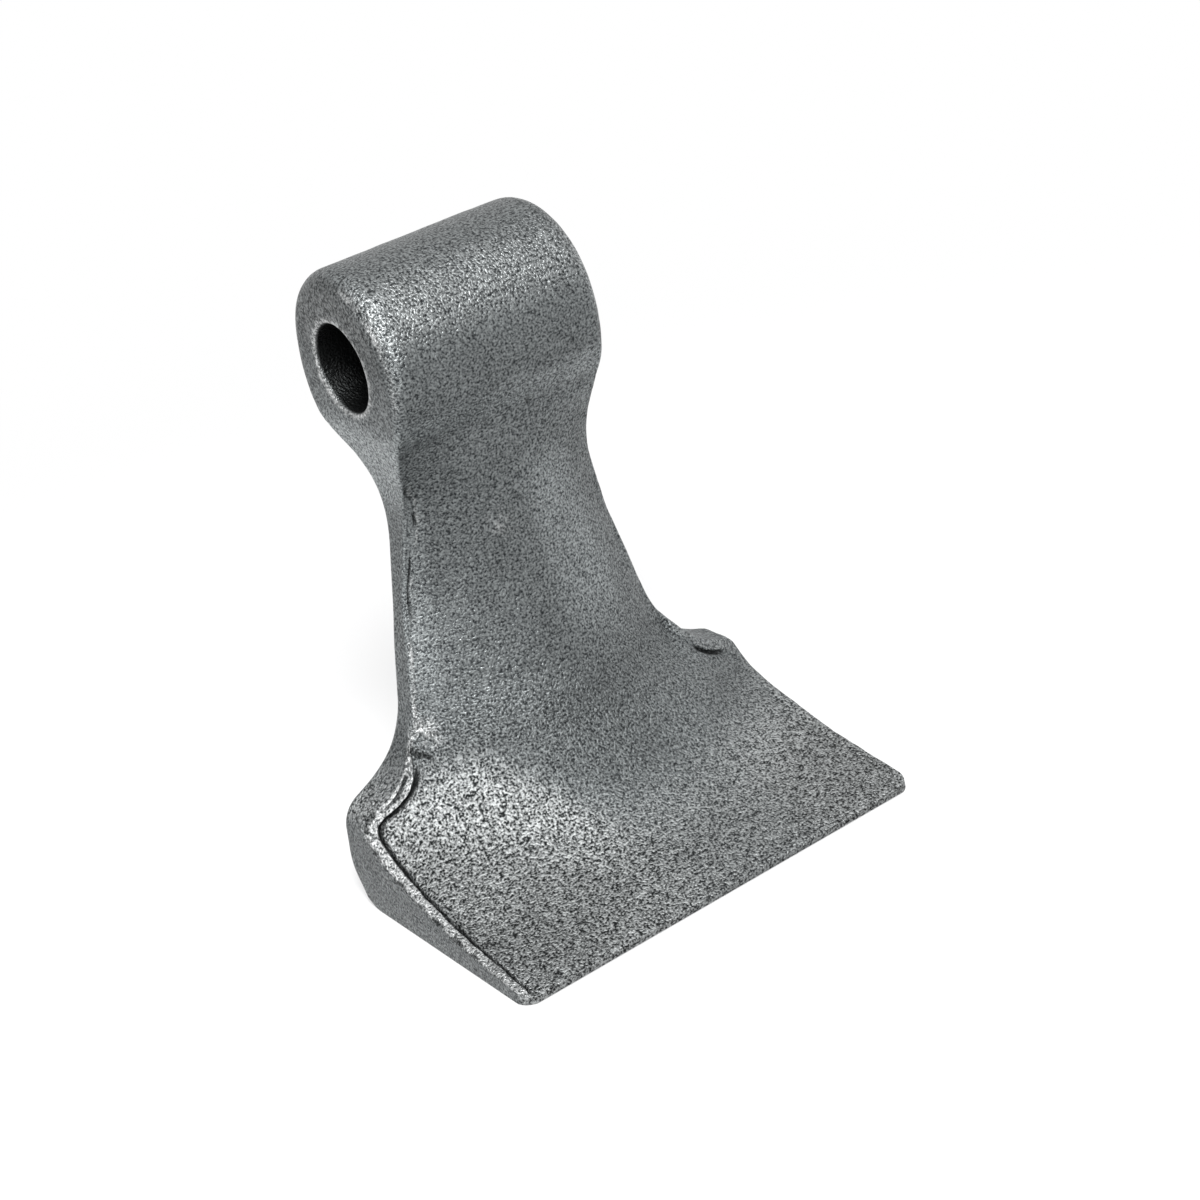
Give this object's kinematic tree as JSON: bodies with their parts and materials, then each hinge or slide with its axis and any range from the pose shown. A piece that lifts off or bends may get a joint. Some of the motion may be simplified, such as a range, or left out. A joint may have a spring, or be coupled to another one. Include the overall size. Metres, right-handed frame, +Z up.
{
  "type": "flail mower hammer",
  "caption": "Forged flail mower hammer: a pivot boss with a cross bore, a waisted neck and a wide scooped blade with trimmed lips down its sides.",
  "frame": {"origin": "middle of the pivot bore, on its axis", "axes": "+X along the pivot bore, -Y forwards to the cutting edge, +Z up from the head to the boss"},
  "size_m": [0.1106, 0.0899, 0.1444],
  "materials": {
    "forged_steel": "as forged and shot blasted, grainy grey"
  },
  "bodies": {
    "root": {"flail_hammer": "forged_steel"}
  },
  "joints": []
}
